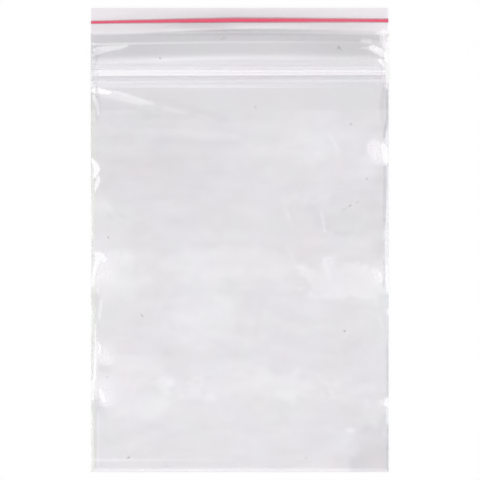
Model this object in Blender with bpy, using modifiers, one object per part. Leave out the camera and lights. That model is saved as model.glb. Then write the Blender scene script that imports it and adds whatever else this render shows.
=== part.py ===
"""A press-to-close zipper bag of clear film, lying flat on its back panel.

Lengths are in metres. X runs across the bag, Y from the bottom fold to the mouth, and Z is up.
The origin is under the middle of the bag, on the surface that the bag lies on.
"""

import math

import bmesh
import bpy

MM = 0.001

# The bag as a whole
BAG_WIDTH = 76.2 * MM  # over the weld beads of both side seals
BAG_LENGTH = 118.6 * MM  # from the bottom fold to the edge of the back lip
FILM = 0.05 * MM  # thickness of one layer of film

# Side seals, where a hot bar fuses the two panels into one band
SEAL_WIDTH = 1.15 * MM
SEAL_THICK = 0.18 * MM
SEAL_HEIGHT = 0.3 * MM  # of the seal's middle plane above the table
SEAL_ROUND = 0.06 * MM  # rounding of the band's long edges
BEAD_PROUD = 0.12 * MM  # how far the molten bead stands out past the film's cut edge
CRUSH_THICK = 0.44 * MM  # of the lump that the bar leaves where it flattens the closure
CRUSH_SPREAD = 0.5 * MM  # how far the lump spreads along the seal past the jaws, each way
CRUSH_INSET = 0.1 * MM  # from the lump to the band's long edges
CRUSH_ROUND = 0.12 * MM
MELT = 0.02 * MM  # what is left between the two layers inside the band

# Lips above the zipper
LIP_DROP = 4.9 * MM  # front lip's edge below the back lip's edge, in the middle
LIP_BOW = 1.15 * MM  # how much lower the front lip's edge is at the sides
LIP_GAP = 0.35 * MM  # between the two lips at the front lip's edge
LIP_CURL = 0.5 * MM  # rise of the back lip's edge off the table
CURL_REACH = 10.5 * MM

# Body of the bag, with the little air that stays in it
BODY_GAP = 1.2 * MM  # between the two panels
ZIP_REACH = 17.0 * MM  # over which the panels part to the thickness of the closure
FOLD_REACH = 12.0 * MM  # over which they come together at the bottom fold
FOLD_RADIUS = 0.15 * MM  # of the film's middle at the bottom fold
SIDE_REACH = 8.5 * MM  # over which they come together at a side seal
LIP_SIDE_REACH = 4.5 * MM
PUCKER_RISE = 0.28 * MM  # of the gathers along the side seals
PUCKER_PITCH = 16.0 * MM
PUCKER_REACH = 7.0 * MM  # of the gathers, in from the seal

# Zipper: a channel strip welded to the back panel and a rib strip to the front panel
ZIP_DOWN = 16.6 * MM  # middle of the closure below the edge of the back lip
ZIP_END = 0.9 * MM  # from the strips' ends to the side seal, where the film closes round them
STRIP_SEAT = 0.02 * MM  # between a strip and the film that carries it
WEB = 0.12 * MM  # thickness of a strip beside its jaws or stem
FLANGE_TIP = 0.05 * MM  # thickness of a strip at its thin edges
CHANNEL_WIDTH = 1.66 * MM
CHANNEL_FLANGE_DOWN = 1.6 * MM  # towards the body
CHANNEL_FLANGE_UP = 1.3 * MM  # towards the mouth
RIB_FLANGE_DOWN = 2.7 * MM
RIB_FLANGE_UP = 2.5 * MM
JAW_HEIGHT = 0.95 * MM
JAW_THICK = 0.28 * MM
HOOK_OVER = 0.2 * MM  # how far each hook reaches over the groove
HOOK_THICK = 0.24 * MM
HOOK_SLOPE = 0.08 * MM  # fall of the hook's underside towards the jaw
STEM_WIDTH = 0.46 * MM
HEAD_TIP = 0.4 * MM  # width of the arrowhead at its nose
CLOSURE_PLAY = 0.05 * MM  # between the arrowhead and the jaws that hold it
SECTION_ROUND = 0.06 * MM

# Coloured line in the back lip
LINE_DOWN = 3.1 * MM  # middle of the line below the edge of the back lip
LINE_WIDTH = 1.1 * MM
LINE_THICK = 0.03 * MM
LINE_SEAT = 0.02 * MM
LINE_BOW = 0.3 * MM  # how much lower the line is at the sides

# How finely the curved forms are divided
CRUSH_STEPS = 4
ACROSS_STEPS = 9
ACROSS_POWER = 1.5  # above 1 crowds the steps towards the side seals
LIP_STEPS = 7
BODY_STEPS = 36
BACK_BODY_STEPS = 12
FOLD_STEPS = 6
ROUND_STEPS = 3

# Places that follow from the sizes
Y_TOP = BAG_LENGTH / 2
Y_BOTTOM = -BAG_LENGTH / 2
Y_ZIP = Y_TOP - ZIP_DOWN
WEB_EDGE = BAG_WIDTH / 2 - BEAD_PROUD  # the film's cut edge
SEAL_INSIDE = BAG_WIDTH / 2 - SEAL_WIDTH
PARTING = SEAL_INSIDE + SEAL_WIDTH / 8  # the panels begin to part inside the band
FOLD_EDGE = Y_BOTTOM + BEAD_PROUD / 2  # outer face of the bottom fold
STRIP_END = SEAL_INSIDE - ZIP_END
LAYER_STEP = FILM + MELT  # between the middles of the two layers inside a seal
CLOSURE = 2 * WEB + JAW_HEIGHT + CLOSURE_PLAY  # over both strips, closed
ZIP_STEP = CLOSURE + 2 * STRIP_SEAT + FILM  # between the middles of the layers at the zipper
FLAT_DOWN = CHANNEL_WIDTH / 2 + max(CHANNEL_FLANGE_DOWN, RIB_FLANGE_DOWN)
FLAT_UP = CHANNEL_WIDTH / 2 + max(CHANNEL_FLANGE_UP, RIB_FLANGE_UP)
ZIP_LOW = Y_ZIP - FLAT_DOWN - WEB
ZIP_HIGH = Y_ZIP + FLAT_UP + WEB


def ease(share):
    """A smooth step from 0 to 1 as share goes from 0 to 1."""
    share = min(max(share, 0.0), 1.0)
    return share * share * (3 - 2 * share)


def mix(first, second, share):
    """A value between first, at share 0, and second, at share 1."""
    return first + (second - first) * share


def front_lip_edge(x):
    """Y of the front lip's edge, which bows down towards the side seals."""
    return Y_TOP - LIP_DROP - LIP_BOW * (2 * x / BAG_WIDTH) ** 2


def side_reach(y):
    """How far in from a side seal the panels reach their full distance, at the height y."""
    crush = ZIP_END - WEB
    body = mix(SIDE_REACH, crush, ease((y - ZIP_LOW + ZIP_REACH) / ZIP_REACH))
    return mix(body, LIP_SIDE_REACH, ease((y - ZIP_HIGH) / LIP_SIDE_REACH))


def openness(x, y):
    """0 in a side seal and 1 where the panels are fully apart."""
    share = min(max((PARTING - abs(x)) / (side_reach(y) + PARTING - SEAL_INSIDE), 0.0), 1.0)
    return share * (2 - share)


def gap_between(x, y):
    """Distance between the middles of the two layers where they are fully apart."""
    if y < ZIP_LOW:
        from_fold = mix(2 * FOLD_RADIUS, BODY_GAP, ease((y - FOLD_EDGE) / FOLD_REACH))
        gap = mix(from_fold, ZIP_STEP, ease((y - ZIP_LOW + ZIP_REACH) / ZIP_REACH))
        inside = (PARTING - abs(x)) / PUCKER_REACH
        fade = ease(inside) * ease(2 - inside) * ease((y - FOLD_EDGE) / FOLD_REACH)
        fade *= ease((ZIP_LOW - y) / PUCKER_PITCH)
        return gap + PUCKER_RISE * fade * math.sin(2 * math.pi * y / PUCKER_PITCH)
    share = ease((y - ZIP_HIGH) / (front_lip_edge(x) - ZIP_HIGH))
    return mix(ZIP_STEP, LIP_GAP + FILM, share)


def layer_step(x, y):
    """Distance between the middles of the two layers."""
    return mix(LAYER_STEP, gap_between(x, y), openness(x, y))


def back_middle(x, y):
    """Z of the middle of the back panel's film."""
    seal = SEAL_HEIGHT - LAYER_STEP / 2
    flat = FILM / 2 + LIP_CURL * ease((y - Y_TOP + CURL_REACH) / CURL_REACH)
    fold = SEAL_HEIGHT - FOLD_RADIUS
    level = mix(fold, flat, ease((y - FOLD_EDGE) / FOLD_REACH))
    return mix(seal, level, openness(x, y))


def front_middle(x, y):
    """Z of the middle of the front panel's film."""
    return back_middle(x, y) + layer_step(x, y)


def fold_point(x, turn):
    """(y, z) of the film's middle on the bottom fold, from the back panel at turn 0 to the front at 1."""
    start = FOLD_EDGE + FILM / 2
    radius = layer_step(x, start) / 2
    angle = math.pi * turn
    middle = back_middle(x, start) + radius
    return start + radius * (1 - math.sin(angle)), middle - radius * math.cos(angle)


def spaced(first, last, steps):
    """Values from first up to but not with last, evenly spaced."""
    return [mix(first, last, step / steps) for step in range(steps)]


def across_places():
    """X of each line of points across the film, crowded where the panels part at the seals."""
    distances = spaced(0.0, ZIP_END, CRUSH_STEPS)
    for step in range(ACROSS_STEPS + 1):
        share = (step / ACROSS_STEPS) ** ACROSS_POWER
        distances.append(mix(ZIP_END, PARTING, share))
    right = [WEB_EDGE] + [PARTING - distance for distance in distances]
    return [-x for x in right] + [x for x in reversed(right[:-1])]


def along_rows():
    """One function for each line of points along the film, from the back lip to the front lip.

    Each gives (y, z) of the film's middle at a place x.
    """
    rows = []

    def back_row(y):
        rows.append(lambda x: (y, back_middle(x, y)))

    def front_row(y):
        rows.append(lambda x: (y, front_middle(x, y)))

    def fold_row(turn):
        rows.append(lambda x: fold_point(x, turn))

    def lip_row(share):
        def place(x):
            y = mix(ZIP_HIGH, front_lip_edge(x), share)
            return y, front_middle(x, y)

        rows.append(place)

    fold_start = FOLD_EDGE + FILM / 2 + ZIP_STEP
    for y in spaced(Y_TOP, ZIP_HIGH, LIP_STEPS):
        back_row(y)
    back_row(ZIP_HIGH)
    for y in spaced(ZIP_LOW, fold_start, BACK_BODY_STEPS):
        back_row(y)
    back_row(fold_start)
    for turn in spaced(0.0, 1.0, FOLD_STEPS):
        fold_row(turn)
    fold_row(1.0)
    for y in spaced(fold_start, ZIP_LOW, BODY_STEPS):
        front_row(y)
    front_row(ZIP_LOW)
    for share in spaced(0.0, 1.0, LIP_STEPS):
        lip_row(share)
    lip_row(1.0)
    return rows


def new_object(name, mesh, collection, material=None):
    """Links a mesh or curve as an object of that name."""
    made = bpy.data.objects.new(name, mesh)
    collection.objects.link(made)
    if material:
        mesh.materials.append(material)
    return made


def shaped_grid(name, columns, rows, place):
    """A grid of quads whose point at (column, row) is moved to place(column, row)."""
    mesh = bpy.data.meshes.new(name)
    shape = bmesh.new()
    bmesh.ops.create_grid(shape, x_segments=columns - 1, y_segments=rows - 1, size=1.0)
    for point in shape.verts:
        column = round((point.co.x + 1) / 2 * (columns - 1))
        row = round((point.co.y + 1) / 2 * (rows - 1))
        point.co = place(column, row)
    shape.to_mesh(mesh)
    shape.free()
    mesh.shade_smooth()
    return mesh


def thicken(thing, thickness, offset):
    """Gives an open surface its thickness."""
    modifier = thing.modifiers.new("thickness", "SOLIDIFY")
    modifier.thickness = thickness
    modifier.offset = offset
    modifier.use_even_offset = True


def plastic(name, colour, roughness, alpha=1.0):
    """A Principled material. Its colour is linear red, green and blue."""
    material = bpy.data.materials.new(name)
    material.use_nodes = True
    shader = material.node_tree.nodes["Principled BSDF"]
    shader.inputs["Base Color"].default_value = (*colour, 1.0)
    shader.inputs["Roughness"].default_value = roughness
    shader.inputs["Metallic"].default_value = 0.0
    shader.inputs["Alpha"].default_value = alpha
    material.diffuse_color = (*colour, alpha)
    return material


def seal_block(name, width, low, high, thick, rounding, helpers):
    """A bar of fused plastic inside the right side seal from y low to high, and its mirror image on the left."""
    mesh = bpy.data.meshes.new(name)
    shape = bmesh.new()
    bmesh.ops.create_cube(shape, size=1.0)
    bmesh.ops.scale(shape, vec=(width, high - low, thick), verts=shape.verts)
    middle = (SEAL_INSIDE + SEAL_WIDTH / 2, (low + high) / 2, SEAL_HEIGHT)
    bmesh.ops.translate(shape, vec=middle, verts=shape.verts)
    shape.to_mesh(mesh)
    shape.free()
    block = new_object(name, mesh, helpers)
    edge = block.modifiers.new("rounding", "BEVEL")
    edge.width = min(rounding, thick / 3)
    edge.segments = 2
    mirror = block.modifiers.new("other_side", "MIRROR")
    mirror.merge_threshold = 0.0001 * MM
    block.hide_render = True
    block.display_type = "WIRE"
    return block


def side_seals(helpers):
    """The fused band along each side of the bag."""
    high = front_lip_edge(BAG_WIDTH / 2) + SEAL_THICK
    return seal_block("side_seals", SEAL_WIDTH, Y_BOTTOM, high, SEAL_THICK, SEAL_ROUND, helpers)


def crushed_ends(helpers):
    """The thicker lump in each band where the hot bar has flattened the end of the closure."""
    reach = CHANNEL_WIDTH / 2 + CRUSH_SPREAD
    width = SEAL_WIDTH - 2 * CRUSH_INSET
    return seal_block("crushed_ends", width, Y_ZIP - reach, Y_ZIP + reach, CRUSH_THICK, CRUSH_ROUND, helpers)


def bag_film(parts, helpers, material):
    """The one piece of film: back lip, back panel, bottom fold, front panel and front lip."""
    places = across_places()
    rows = along_rows()

    def place(column, row):
        x = places[column]
        return (x, *rows[row](x))

    mesh = shaped_grid("bag_film", len(places), len(rows), place)
    film = new_object("bag_film", mesh, parts, material)
    thicken(film, FILM, 0.0)
    for block in (side_seals(helpers), crushed_ends(helpers)):
        weld = film.modifiers.new(block.name, "BOOLEAN")
        weld.operation = "UNION"
        weld.solver = "EXACT"
        weld.object = block
    return film


def rounded(corners, radius):
    """The outline through these corners with each one rounded, as far as its sides leave room."""
    points = []
    for index, (px, py) in enumerate(corners):
        sides = []
        for qx, qy in (corners[index - 1], corners[(index + 1) % len(corners)]):
            length = math.hypot(qx - px, qy - py)
            sides.append(((qx - px) / length, (qy - py) / length, length))
        (ax, ay, a_length), (bx, by, b_length) = sides
        half = math.acos(min(max(ax * bx + ay * by, -1.0), 1.0)) / 2
        back = min(radius / math.tan(half), 0.45 * a_length, 0.45 * b_length)
        for step in range(ROUND_STEPS + 1):
            t = step / ROUND_STEPS
            start, end, pull = (1 - t) ** 2, t * t, 2 * t * (1 - t)
            points.append(
                (
                    px * (start + end + pull) + back * (ax * start + bx * end),
                    py * (start + end + pull) + back * (ay * start + by * end),
                )
            )
    return points


def mirrored_ends(one_side):
    """An outline from the points of its +Y side, in order, and their mirror images."""
    return one_side + [(-y, z) for y, z in reversed(one_side)]


def strip_along_x(name, outline, base, parts, material):
    """A strip with this section in Y and Z, from end to end of the zipper, its section's origin at base."""
    curve = bpy.data.curves.new(name, "CURVE")
    curve.dimensions = "2D"
    curve.fill_mode = "BOTH"
    curve.extrude = STRIP_END
    spline = curve.splines.new("POLY")
    spline.points.add(len(outline) - 1)
    for point, (y, z) in zip(spline.points, outline):
        point.co = (y, z, 0.0, 1.0)
    spline.use_cyclic_u = True
    strip = new_object(name, curve, parts, material)
    strip.rotation_euler = (math.pi / 2, 0.0, math.pi / 2)
    strip.location = (0.0, *base)
    return strip


def zipper_channel(parts, material):
    """The female strip: two hooked jaws on a thin web, on the inside of the back panel."""
    outside = CHANNEL_WIDTH / 2
    groove = outside - JAW_THICK
    mouth = groove - HOOK_OVER
    top = WEB + JAW_HEIGHT
    jaw = [
        (outside, WEB),
        (outside, top - HOOK_THICK / 2),
        (outside - JAW_THICK / 2, top),
        (mouth + HOOK_OVER / 4, top),
        (mouth, top - HOOK_THICK / 2),
        (mouth, top - HOOK_THICK),
        (groove, top - HOOK_THICK - HOOK_SLOPE),
        (groove, WEB),
    ]
    flange_up = [(outside + CHANNEL_FLANGE_UP, 0.0), (outside + CHANNEL_FLANGE_UP, FLANGE_TIP)]
    flange_down = [(-outside - CHANNEL_FLANGE_DOWN, FLANGE_TIP), (-outside - CHANNEL_FLANGE_DOWN, 0.0)]
    outline = rounded(flange_up + mirrored_ends(jaw) + flange_down, SECTION_ROUND)
    base = (Y_ZIP, FILM + STRIP_SEAT)
    return strip_along_x("zipper_channel", outline, base, parts, material)


def zipper_rib(parts, material):
    """The male strip: an arrowhead on a stem, on the inside of the front panel, held in the jaws."""
    stem = STEM_WIDTH / 2
    head = CHANNEL_WIDTH / 2 - JAW_THICK - CLOSURE_PLAY
    barb = -WEB - 2 * CLOSURE_PLAY - HOOK_THICK
    nose = -WEB - JAW_HEIGHT
    arrow = [
        (stem, -WEB),
        (stem, barb),
        (head, barb - HOOK_SLOPE),
        (head, barb - HOOK_SLOPE - CLOSURE_PLAY),
        (HEAD_TIP / 2, nose),
    ]
    reach_up = CHANNEL_WIDTH / 2 + RIB_FLANGE_UP
    reach_down = -CHANNEL_WIDTH / 2 - RIB_FLANGE_DOWN
    flange_up = [(reach_up, 0.0), (reach_up, -FLANGE_TIP)]
    flange_down = [(reach_down, -FLANGE_TIP), (reach_down, 0.0)]
    outline = rounded(flange_up + mirrored_ends(arrow) + flange_down, SECTION_ROUND)
    base = (Y_ZIP, FILM + STRIP_SEAT + CLOSURE)
    return strip_along_x("zipper_rib", outline, base, parts, material)


def lip_line(parts, material):
    """The coloured line that lies along the back lip, just below its edge."""
    places = across_places()
    edges = (-LINE_WIDTH / 2, 0.0, LINE_WIDTH / 2)

    def place(column, row):
        x = places[column]
        y = Y_TOP - LINE_DOWN - LINE_BOW * (2 * x / BAG_WIDTH) ** 2 + edges[row]
        return (x, y, back_middle(x, y) + FILM / 2 + LINE_SEAT)

    mesh = shaped_grid("lip_line", len(places), len(edges), place)
    line = new_object("lip_line", mesh, parts, material)
    thicken(line, LINE_THICK, 1.0)
    return line


def clear_scene():
    for thing in list(bpy.data.objects):
        bpy.data.objects.remove(thing)


def build_bag():
    clear_scene()
    parts = bpy.data.collections.new("zipper_bag")
    helpers = bpy.data.collections.new("helpers")
    bpy.context.scene.collection.children.link(parts)
    bpy.context.scene.collection.children.link(helpers)
    clear_film = plastic("clear_film", (0.78, 0.76, 0.79), 0.12, 0.3)
    milky = plastic("milky_plastic", (0.86, 0.85, 0.87), 0.25, 0.7)
    red = plastic("red_plastic", (0.78, 0.07, 0.15), 0.3)
    bag_film(parts, helpers, clear_film)
    zipper_channel(parts, milky)
    zipper_rib(parts, milky)
    lip_line(parts, red)


build_bag()
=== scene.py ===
"""The looks of a clear press-to-close zipper bag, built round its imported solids.

Lengths are in metres. X runs across the bag, Y from the bottom fold to the mouth, and Z is up.
Places on the bag are pixels of a 480 by 480 view from straight above: u to the right, v down.
Levels of grey and colour run from 0 to 255, as in that view.
"""

import math

import bpy
import numpy as np
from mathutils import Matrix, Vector, noise


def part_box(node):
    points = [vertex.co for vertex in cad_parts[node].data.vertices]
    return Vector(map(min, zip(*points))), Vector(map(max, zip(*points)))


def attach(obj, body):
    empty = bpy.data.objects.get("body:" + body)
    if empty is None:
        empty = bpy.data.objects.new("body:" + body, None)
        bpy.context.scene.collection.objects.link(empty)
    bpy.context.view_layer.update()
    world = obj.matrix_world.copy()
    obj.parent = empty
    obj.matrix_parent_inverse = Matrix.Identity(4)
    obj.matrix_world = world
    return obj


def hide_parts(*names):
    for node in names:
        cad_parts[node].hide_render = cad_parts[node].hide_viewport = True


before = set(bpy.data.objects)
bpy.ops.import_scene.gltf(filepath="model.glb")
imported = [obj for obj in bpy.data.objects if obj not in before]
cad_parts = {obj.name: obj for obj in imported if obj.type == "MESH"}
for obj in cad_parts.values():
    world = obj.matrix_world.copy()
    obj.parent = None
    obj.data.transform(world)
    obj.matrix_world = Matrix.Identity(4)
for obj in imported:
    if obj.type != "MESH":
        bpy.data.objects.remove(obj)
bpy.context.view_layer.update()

MM = 0.001

# The view's frame
VIEW_SIDE = 480
VIEW_MIDDLE = 240
BAG_SIDES = (91, 389)
CAMERA_HEIGHT = 1.5

# Sizes that the solids give
film_low, film_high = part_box("bag_film")
rib_low, rib_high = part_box("zipper_rib")
channel_low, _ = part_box("zipper_channel")
BAG_WIDTH = film_high.x - film_low.x
Y_TOP = film_high.y
Y_BOTTOM = film_low.y
ZIP_LOW = rib_low.y
ZIP_HIGH = rib_high.y
PX = BAG_WIDTH / (BAG_SIDES[1] - BAG_SIDES[0])

# Closure
CHANNEL_WIDTH = 1.66 * MM
CHANNEL_FLANGE_DOWN = 1.6 * MM
Y_ZIP = channel_low.y + CHANNEL_FLANGE_DOWN + CHANNEL_WIDTH / 2
CRUSH_REACH = 0.9 * MM
CRUSH_THICK = 0.36 * MM
CRUSH_OUT = 1.05 * MM
CRUSH_RISE = 0.42 * MM
CRUSH_HALF, CRUSH_FADE = 1.6 * MM, 1.6 * MM

# Film
FILM = 0.05 * MM
SEAL_WIDTH = 1.15 * MM
SEAL_HEIGHT = 0.3 * MM
SEAL_STEP = 0.07 * MM
FOLD_RADIUS = 0.15 * MM
FOLD_REACH = 12.0 * MM
SIDE_REACH = 8.5 * MM
LIP_SIDE_REACH = 4.5 * MM
ZIP_SIDE_REACH = 0.8 * MM
ZIP_REACH = 17.0 * MM
BODY_GAP = 1.2 * MM
LIP_GAP = 0.35 * MM
LIP_CURL = 0.5 * MM
CURL_REACH = 10.5 * MM
STRIP_CLEARANCE = 0.03 * MM
WAVE_RISE = 0.03 * MM
WAVE_LENGTH = 13.0 * MM
WAVE_FADE = 8.0 * MM  # below the closure

# Grid of the film: steps between columns and rows
SIDE_ZONE, SIDE_STEP = 3.6 * MM, 0.16 * MM
MIDDLE_STEP = 0.34 * MM
LIP_STEP = 0.2 * MM
BACK_LIP_STEP = 0.7 * MM
BACK_STEP = 3.0 * MM
FOLD_TURNS = 8
BODY_ROWS = [  # down to this v, a row every so many millimetres
    (112, 0.2),
    (200, 0.3),
    (455, 0.26),
    (472, 0.2),
]
FRONT_CUTS = (170, 330)  # v where the front panel's mesh is cut into pieces

# Light
FLOOR_SIDE = 6.0
FLOOR_DROP = 0.02 * MM
FLOOR_MATT = 0.8
FLOOR_OWN = 0.2
WORLD_LIGHT = 0.63
OVERHEAD = 1.0
OVERHEAD_SIDE = 1.6
OVERHEAD_HEIGHT = 0.9
SURFACE_GLOSS = 0.04
VEIL = 1.1  # what a surface adds, over its gloss
PANEL_SURFACES, LIP_SURFACES = 4, 2
LAMP_HELD = 0.1


def at(u, v):
    """The place on the table of a pixel of the view."""
    return (u - VIEW_MIDDLE) * PX, (VIEW_MIDDLE - v) * PX


def pixel(x, y):
    """The pixel (u, v) of a place on the table."""
    return x / PX + VIEW_MIDDLE, VIEW_MIDDLE - y / PX


def ease(share):
    """A smooth step from 0 to 1 as share goes from 0 to 1."""
    share = np.clip(share, 0.0, 1.0)
    return share * share * (3 - 2 * share)


def mix(first, second, share):
    """A value between first, at share 0, and second, at share 1."""
    return first + (second - first) * share


def across(values, x):
    """Value at x of the smooth curve through values spaced evenly from the left side to the right."""
    curve = np.polyfit(np.linspace(-1.0, 1.0, len(values)), values, len(values) - 1)
    return np.polyval(curve, 2 * x / BAG_WIDTH)


def linear(level):
    """The linear value of a colour level."""
    share = np.clip(level, 0, 255) / 255
    return np.where(share > 0.04045, ((share + 0.055) / 1.055) ** 2.4, share / 12.92)


# Shape of the film

SEAL_INSIDE = BAG_WIDTH / 2 - SEAL_WIDTH
FRONT_UNDERSIDE = rib_high.z + STRIP_CLEARANCE
FRONT_LIP_V = (33.5, 31.5, 28.6, 28.7, 31.6)

# How far in from the stated sides the cut edges lie, in pixels: at the mouth and along the body
LEFT_EDGE_IN = (0.1, 0.5)
RIGHT_EDGE_IN = (0.55, 0.55)
EDGE_V, EDGE_REACH = 120, 90  # where the one passes into the other

# Nicks in the cut edges: v, depth and half length in pixels
LEFT_NICKS = [
    (203, 0.7, 2.0), (217, 1.3, 1.4), (225, 0.8, 3.0), (233, 1.6, 3.4), (240, 0.6, 1.5), (247, 0.9, 2.0),
    (255, 0.7, 1.2), (260, 1.1, 1.3), (275, 0.8, 1.4), (284, 1.2, 1.6), (299, 0.7, 1.4), (312, 1.7, 5.5),
    (330, 0.5, 2.0), (349, 0.6, 1.5), (372, 0.7, 2.2), (388, 1.0, 4.0), (397, 0.6, 3.0), (426, 0.7, 3.0),
    (449, 0.6, 2.5), (459, 0.5, 2.0),
]
RIGHT_NICKS = [
    (38, 0.8, 1.6), (47, 1.0, 2.0), (56, 0.7, 1.4), (80, 0.8, 2.5), (152, 0.6, 5.0), (232, 0.5, 2.5),
    (312, 1.3, 2.4), (404, 1.0, 4.0), (421, 0.4, 3.0),
]


def edge_shift(y, edge_in, nicks):
    """How far in from the side the film's cut edge lies at each place along it."""
    _, v = pixel(0.0, y)
    depth = np.zeros(np.shape(y))
    for middle, deep, half in nicks:
        depth = np.maximum(depth, deep * (1 - ease(np.abs(v - middle) / half)))
    return PX * (depth + mix(*edge_in, ease((v - EDGE_V) / EDGE_REACH)))


def front_lip_edge(x):
    """Y of the front lip's edge, which bows down towards the side seals."""
    return at(0, across(FRONT_LIP_V, x))[1]


def side_reach(y):
    """How far in from a side seal the panels reach their full distance, at the height y."""
    body = mix(SIDE_REACH, ZIP_SIDE_REACH, ease((y - ZIP_LOW + ZIP_REACH) / ZIP_REACH))
    return mix(body, LIP_SIDE_REACH, ease((y - ZIP_HIGH) / LIP_SIDE_REACH))


def crushed(y):
    """1 beside the closure, where its flattened ends thicken the side seals, and 0 away from it."""
    return 1 - ease((np.abs(y - Y_ZIP) - CRUSH_HALF) / CRUSH_FADE)


def openness(x, y):
    """0 in a side seal and 1 where the panels are fully apart."""
    further = CRUSH_OUT * crushed(y)
    share = np.clip((SEAL_INSIDE + further - np.abs(x)) / (side_reach(y) + further), 0.0, 1.0)
    return share * (2 - share)


def gap_between(x, y):
    """Distance between the middles of the two layers where they are fully apart."""
    from_fold = mix(2 * FOLD_RADIUS, BODY_GAP, ease((y - Y_BOTTOM) / FOLD_REACH))
    body = mix(from_fold, FRONT_UNDERSIDE, ease((y - ZIP_LOW + ZIP_REACH) / ZIP_REACH))
    lip = mix(FRONT_UNDERSIDE, LIP_GAP + FILM, ease((y - ZIP_HIGH) / (front_lip_edge(x) - ZIP_HIGH)))
    return np.where(y < ZIP_LOW, body, lip)


def back_middle(x, y):
    """Z of the middle of the back panel's film."""
    seal = SEAL_HEIGHT - SEAL_STEP / 2
    flat = FILM / 2 + LIP_CURL * ease((y - Y_TOP + CURL_REACH) / CURL_REACH)
    fold = SEAL_HEIGHT - FOLD_RADIUS
    level = mix(fold, flat, ease((y - Y_BOTTOM) / FOLD_REACH))
    return mix(seal, level, openness(x, y))


def front_middle(x, y):
    """Z of the middle of the front panel's film, before its creases."""
    step = mix(SEAL_STEP + CRUSH_RISE * crushed(y), gap_between(x, y), openness(x, y))
    return back_middle(x, y) + step


# What the film looks like: its zones from the mouth down, lines of painted light and shade along it,
# patches of painted light and shade, and creases with painted highlights and shade

BODY_LEVEL = 226.8
BACK_LEVEL = 238.0
LIP_LEVEL = 228.2
CLEAR_LEVEL = 239.0
BODY_TINT = (0.4, -1.4, 1.4)
LIP_TINT = (1.2, -2.2, 1.0)
LEFT_SEAL_TINT = (0.6, 1.4, -0.6)
RIGHT_SEAL_TINT = (-1.5, -1.5, 3.0)
SEAL_TINT_V, SEAL_TINT_FADE = 86, 4
CORNER_TINT = (1.2, 0.0, 0.6)
CORNER_MIDDLE, CORNER_REACH = (380, 456), (26, 24)
WHITE_LEVEL = 253.0
# Light along the bottom fold: changes of level from the left to the right, v and softness in pixels
FOLD_GAIN = (9, 17, 15, 13, 8)
FOLD_V, FOLD_SOFTNESS = 467.8, 1.2

# name: top v, bottom v, softness in pixels, levels there; the values run from the left to the right. The
# levels are those of the layers seen through, with painted highlight over the jaws, whose strips are also
# milky, and painted shade under them
ZONES = {
    "under_front_lip": (
        (34.4, 32.0, 29.2, 30.2, 33.4), (34.8, 34.2, 33.8, 34.4, 35.2), 1.4, (225, 214, 207, 213, 222)),
    "lips_together": (
        (34.9, 34.4, 33.6, 34.0, 35.2), (66,), 1.8, (212.4, 211.2, 214, 211.2, 210.4)),
    "flange_up": ((58.8, 56.1, 54.6, 54.9, 57.6), (90,), 7.0, (225, 227.5, 227.5, 225, 225)),
    "above_jaws": ((67.6, 67.6, 67.6, 67.3, 67.0), (90,), 1.8, (234, 237, 234.5, 233, 234)),
    # partly the milky strips, partly painted highlight
    "jaws": ((70.5, 70.5, 70.6), (90,), 1.4, (245, 241.4, 238.8)),
    # painted shade below the jaws' step
    "under_jaws": ((76.6, 75.9, 75.8, 75.2, 75.0), (90,), 0.9, (220, 218, 217)),
    "flange_down": ((78.8, 79.0, 78.8), (90,), 1.8, (224, 223, 222)),
    "below_flange": ((88.4, 89.4, 87.0), (110,), 2.0, (220, 223, 222)),
}

# Lines of painted highlight and painted shade along the lip and the closure's edges: name: v, half width
# and softness in pixels, changes of level there
PAINTED_LIGHT_LINES = {
    "lip_edge_shade": ((34.0, 31.6, 30.3, 31.6, 33.0), 0.5, 1.4, (0, -2, -6, -4, 0)),
    "lip_light": ((33.0, 33.0, 32.4, 32.2, 33.0), 0.4, 1.0, (0, 6, 6, 4, 0)),
    "lip_shade": ((35.6, 34.7, 34.5, 34.9, 36.2), 0.9, 1.6, (0, -8, -12, -7, 0)),
    "lip_shade_low": ((38.6, 38.6, 39.6), 1.8, 3.0, (0, -4, -2)),
    "lip_rib": ((44.2, 43.1, 42.2, 42.3, 42.4), 0.6, 1.5, (16, 14, 10, 7, 0)),
    "flange_edge": ((62.2, 60.2, 57.6, 58.5, 61.0), 1.0, 3.0, (8, 9, 6, 3, 1)),
    "web_line": ((64.6, 64.5, 64.5), 0.2, 1.0, (-10, -4, -2)),
    "web_low": ((66.0, 66.0, 65.0), 0.5, 1.4, (4, -2, 0)),
    "web_foot": ((67.4, 67.4, 67.4), 0.2, 1.0, (-5, 2, 1)),
    "jaw_ridge": ((72.6, 71.4, 71.2), 0.5, 1.0, (2, 1, 4)),
    "jaw_gap": ((72.7, 72.7, 72.6), 0.2, 1.0, (2, -3, -3)),
    "flange_line": ((82.4, 82.2, 81.7, 81.3, 81.1), 0.5, 1.1, (20, 14, 13, 12, 13)),
    "flange_gap": ((83.9, 83.7, 83.6), 0.4, 1.0, (5, 2, 0)),
    "flange_low_edge": ((86.0, 86.2, 86.4, 86.0, 85.8), 1.2, 1.3, (11, 12, 13, 6, 2)),
    "bottom_line": ((459.8, 460.4, 462.0), 0.8, 1.4, (7, 1, 0)),
    "bottom_shade": ((465.0, 465.6, 461.0), 1.5, 2.0, (-2, 0, 0)),
}

# The painted highlight along the front lip's cut edge: v, half width, softness and changes of level as
# above
FRONT_LIP_HIGHLIGHT = ((32.8, 30.9, 28.0, 28.1, 31.0), 0.7, 1.1, (6, 8, 12, 8, 4))

# How many levels the closure's strips take from what is seen through them: top and bottom v, loss
STRIP_LOSSES = [(57.5, 64.0, 2.0), (64.0, 82.5, 6.0)]
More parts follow.
